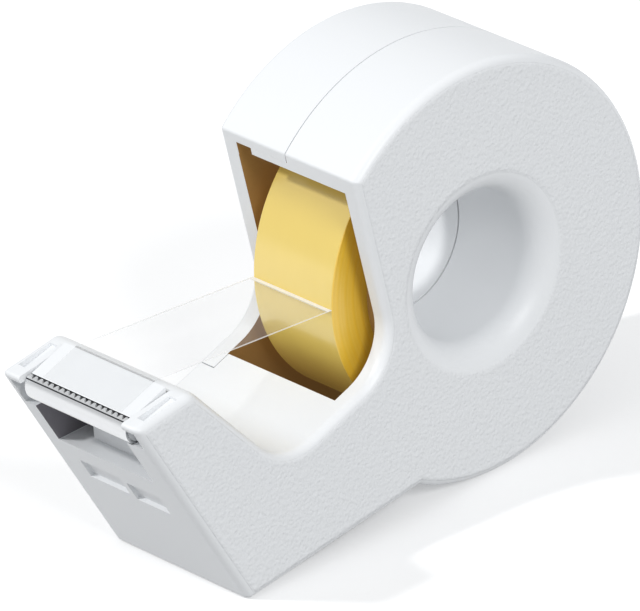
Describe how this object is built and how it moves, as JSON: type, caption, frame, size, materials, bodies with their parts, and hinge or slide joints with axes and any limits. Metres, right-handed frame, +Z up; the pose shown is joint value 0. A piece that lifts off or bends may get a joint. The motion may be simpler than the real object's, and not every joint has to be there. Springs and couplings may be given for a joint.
{
  "type": "tape dispenser",
  "caption": "Hand-held adhesive tape dispenser: round drum with a through hub hole, pull-off side cover, roll of tape, and a toothed steel cutter between two ears.",
  "frame": {"origin": "under the middle of the overall box, on the surface that the dispenser stands on", "axes": "+X across the width towards the plain side wall, +Y from the cutter to the drum, +Z up"},
  "size_m": [0.026, 0.0882, 0.058],
  "materials": {
    "body_plastic": "fine sandblasted white moulding, smooth satin rim",
    "cover_plastic": "fine sandblasted white moulding, smooth satin rim",
    "holder_plastic": "smooth white moulding",
    "blade_steel": "bright rolled strip",
    "core_plastic": "plain tube",
    "tape_roll": "amber, wound clear film",
    "tape_film": "clear glossy film"
  },
  "bodies": {
    "casing": {"main_body": "body_plastic", "cutter_holder": "holder_plastic", "cutter_blade": "blade_steel", "tape_tail": "tape_film"},
    "tape_roll": {"tape_core": "core_plastic", "tape_winding": "tape_roll"},
    "cover": {"side_cover": "cover_plastic"}
  },
  "joints": [
    {"name": "roll_spin", "type": "hinge", "parent": "casing", "child": "tape_roll", "pos_m": [0, 0.01511, 0.029], "axis": [1, 0, 0], "continuous": true},
    {"name": "cover_slide", "type": "slide", "parent": "casing", "child": "cover", "axis": [-1, 0, 0], "range_m": [0, 0.036]}
  ]
}
